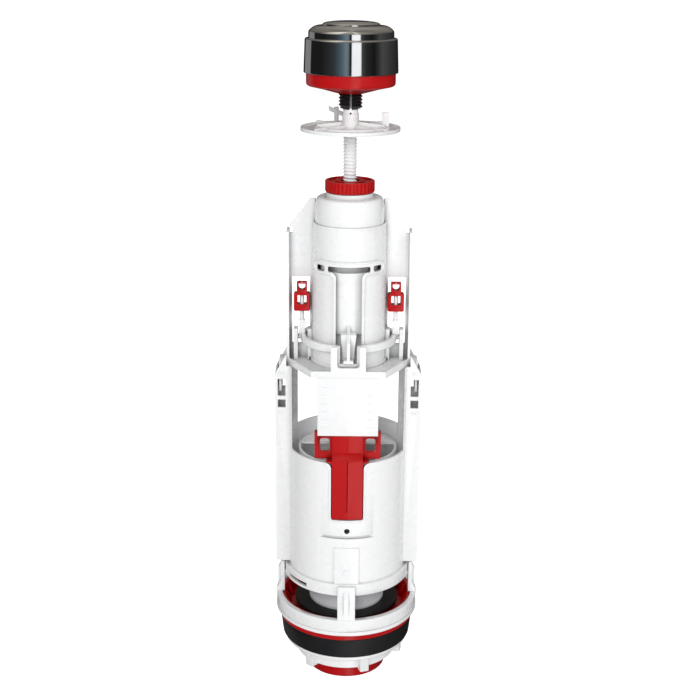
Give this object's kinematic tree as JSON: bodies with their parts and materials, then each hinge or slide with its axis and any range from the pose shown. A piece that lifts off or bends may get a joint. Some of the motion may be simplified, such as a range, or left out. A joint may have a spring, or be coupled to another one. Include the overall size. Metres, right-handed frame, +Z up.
{
  "type": "toilet flush valve",
  "caption": "Dual-flush valve for a toilet cistern: chrome push button, press disc on a rod, white housing with rocking lift yoke, red volume slider, lift plunger and gasketed outlet.",
  "frame": {"origin": "on the valve's axis at the bottom of the outlet spigot, which is the middle of the bounding box's bottom", "axes": "+Z up along the valve's axis to the push button; -Y is the front, with the volume slider; +X is to the right seen from the front"},
  "size_m": [0.0784, 0.0784, 0.3545],
  "materials": {
    "white_plastic": "satin moulded polypropylene",
    "grey_plastic": "satin, light grey",
    "red_plastic": "glossy red moulded plastic",
    "chrome_trim": "bright chrome plating",
    "black_plastic": "matt black",
    "black_rubber": "matt black rubber",
    "spring_steel": "plain spring wire"
  },
  "bodies": {
    "valve_body": {"seat_base": "red_plastic", "base_gasket": "black_rubber", "base_basket": "white_plastic", "outer_body": "white_plastic", "volume_cup": "white_plastic", "scale_plate": "white_plastic", "head_frame": "white_plastic", "guide_tube": "white_plastic", "head_housing": "white_plastic", "left_hanger": "white_plastic", "right_hanger": "white_plastic", "left_inner_post": "white_plastic", "left_outer_post": "white_plastic", "right_inner_post": "white_plastic", "right_outer_post": "white_plastic", "button_cup": "red_plastic", "threaded_shank": "black_plastic", "bezel_ring": "chrome_trim", "return_spring": "spring_steel", "full_button_spring": "spring_steel"},
    "press_train": {"press_cap": "white_plastic", "press_sleeve": "white_plastic", "push_rod": "white_plastic", "press_disc": "white_plastic", "disc_clip": "grey_plastic"},
    "full_button": {"full_flush_button": "chrome_trim", "button_pusher": "white_plastic", "half_button_spring": "spring_steel"},
    "half_button": {"half_flush_button": "chrome_trim"},
    "yoke": {"lift_yoke": "white_plastic"},
    "clip_left": {"left_adjuster_clip": "red_plastic"},
    "clip_right": {"right_adjuster_clip": "red_plastic"},
    "plunger": {"lift_tube": "white_plastic", "plunger_disc": "grey_plastic", "plunger_seal": "black_rubber", "seal_retainer": "white_plastic", "float_ring": "white_plastic"},
    "slider": {"volume_slider": "red_plastic"},
    "lock_ring": {"lock_nut": "red_plastic"},
    "back_nut": {"base_nut": "white_plastic"}
  },
  "joints": [
    {"name": "push", "type": "slide", "parent": "valve_body", "child": "press_train", "axis": [0, 0, -1], "range_m": [0, 0.008], "stiffness_N_per_m": 300, "springref_m": -0.01, "deforming": ["return_spring"]},
    {"name": "yoke_rock", "type": "hinge", "parent": "valve_body", "child": "yoke", "pos_m": [0, 0, 0.1917], "axis": [1, 0, 0], "range_deg": [0, 21.2]},
    {"name": "plunger_lift", "type": "slide", "parent": "valve_body", "child": "plunger", "axis": [0, 0, 1], "range_m": [0, 0.0091]},
    {"name": "full_button_press", "type": "slide", "parent": "valve_body", "child": "full_button", "axis": [0, 0, -1], "range_m": [0, 0.008], "deforming": ["full_button_spring"]},
    {"name": "half_button_press", "type": "slide", "parent": "full_button", "child": "half_button", "axis": [0, 0, -1], "range_m": [0, 0.003], "stiffness_N_per_m": 150, "springref_m": -0.003, "deforming": ["half_button_spring"]},
    {"name": "volume_set", "type": "slide", "parent": "valve_body", "child": "slider", "axis": [0, 0, 1], "range_m": [0, 0.01]},
    {"name": "left_clip_set", "type": "slide", "parent": "yoke", "child": "clip_left", "axis": [0, 0, 1], "range_m": [-0.0045, 0.004]},
    {"name": "right_clip_set", "type": "slide", "parent": "yoke", "child": "clip_right", "axis": [0, 0, 1], "range_m": [-0.0045, 0.004]},
    {"name": "lock_nut_turn", "type": "hinge", "parent": "press_train", "child": "lock_ring", "pos_m": [0, 0, 0.2724], "axis": [0, 0, 1], "continuous": true},
    {"name": "back_nut_turn", "type": "hinge", "parent": "valve_body", "child": "back_nut", "pos_m": [0, 0, 0.014], "axis": [0, 0, 1], "continuous": true}
  ],
  "couplings": [
    {"joint": "yoke_rock", "follows": "push", "rad_per_m": 46.25},
    {"joint": "plunger_lift", "follows": "push", "ratio": 1.1375},
    {"joint": "full_button_press", "follows": "push", "ratio": 1}
  ]
}
